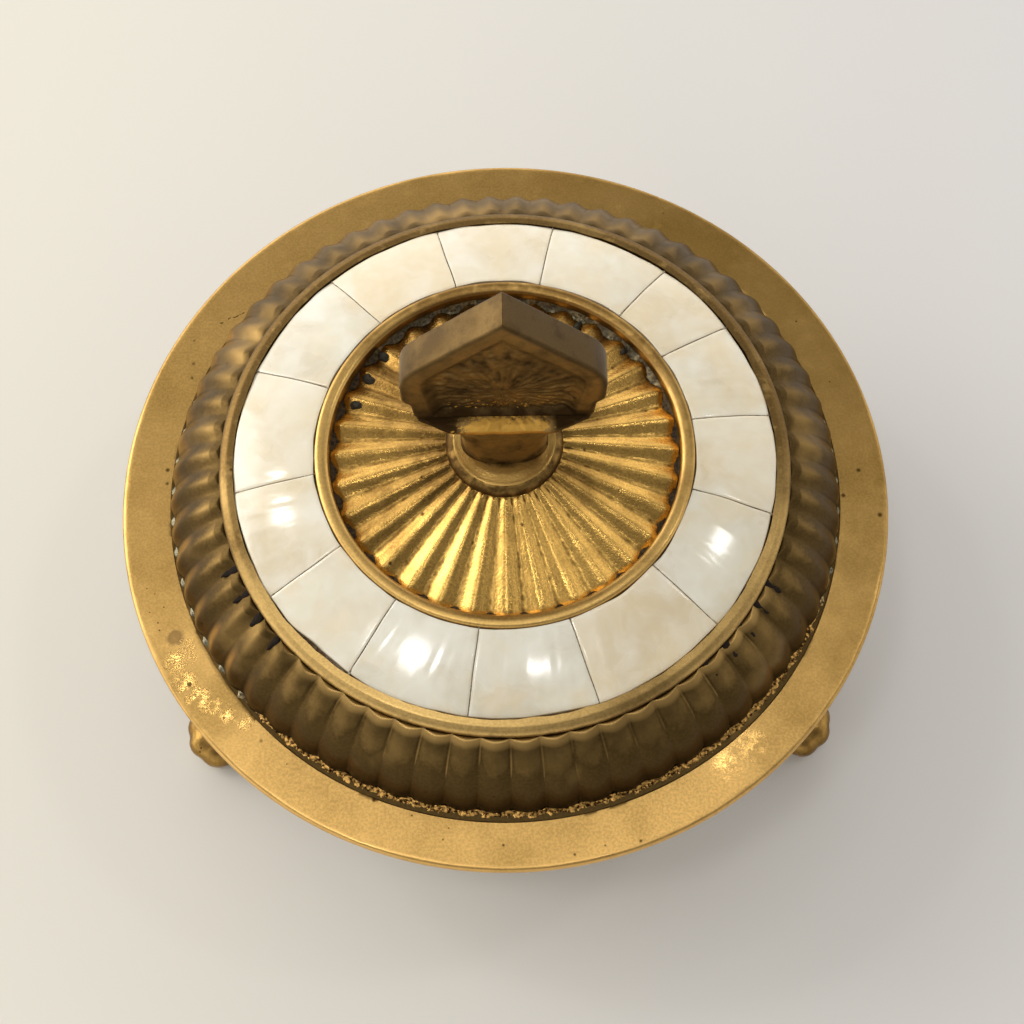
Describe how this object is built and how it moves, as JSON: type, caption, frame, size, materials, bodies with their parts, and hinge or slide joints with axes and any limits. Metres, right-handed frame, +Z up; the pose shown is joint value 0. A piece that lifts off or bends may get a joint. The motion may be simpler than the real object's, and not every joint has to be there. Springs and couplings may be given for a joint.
{
  "type": "footed trinket box",
  "caption": "Round brass box on cast feet, with a fluted bowl and a lift-off lid inlaid with a ring of mother-of-pearl tiles round a fluted sunburst and a leaf knob.",
  "frame": {"origin": "centre of the whole part's outline in plan, on the surface it stands on", "axes": "+Z up; one foot points along +Y, the knob's faces look along -Y and +Y"},
  "size_m": [0.15, 0.155, 0.1215],
  "materials": {
    "flange_brass": "aged satin brass, pitted",
    "skirt_brass": "dark aged brass",
    "bezel_brass": "worn satin brass",
    "sunburst_brass": "bright stamped brass",
    "cast_brass": "rough cast brass, brown patina",
    "plain_brass": "plain turned brass",
    "solder": "rough dull solder",
    "cement": "dark inlay cement",
    "pearl": "polished mother-of-pearl"
  },
  "bodies": {
    "base": {"bowl": "skirt_brass", "bowl_rim": "plain_brass", "foot_back": "cast_brass", "foot_left": "cast_brass", "foot_right": "cast_brass", "foot_rivets": "plain_brass"},
    "lid": {"flange_ring": "flange_brass", "fluted_skirt": "skirt_brass", "skirt_solder": "solder", "locating_ring": "plain_brass", "lid_plate": "plain_brass", "outer_bezel": "bezel_brass", "inlay_cement": "cement", "pearl_tile_01": "pearl", "pearl_tile_02": "pearl", "pearl_tile_03": "pearl", "pearl_tile_04": "pearl", "pearl_tile_05": "pearl", "pearl_tile_06": "pearl", "pearl_tile_07": "pearl", "pearl_tile_08": "pearl", "pearl_tile_09": "pearl", "pearl_tile_10": "pearl", "pearl_tile_11": "pearl", "pearl_tile_12": "pearl", "pearl_tile_13": "pearl", "pearl_tile_14": "pearl", "inner_ring": "bezel_brass", "sunburst_solder": "solder", "sunburst_disc": "sunburst_brass", "knob_collar": "cast_brass", "knob": "cast_brass", "knob_stud": "plain_brass", "knob_washer": "plain_brass", "knob_nut": "plain_brass"}
  },
  "joints": [
    {"name": "lid_lift", "type": "slide", "parent": "base", "child": "lid", "axis": [0, 0, 1], "range_m": [0, 0.08]}
  ]
}
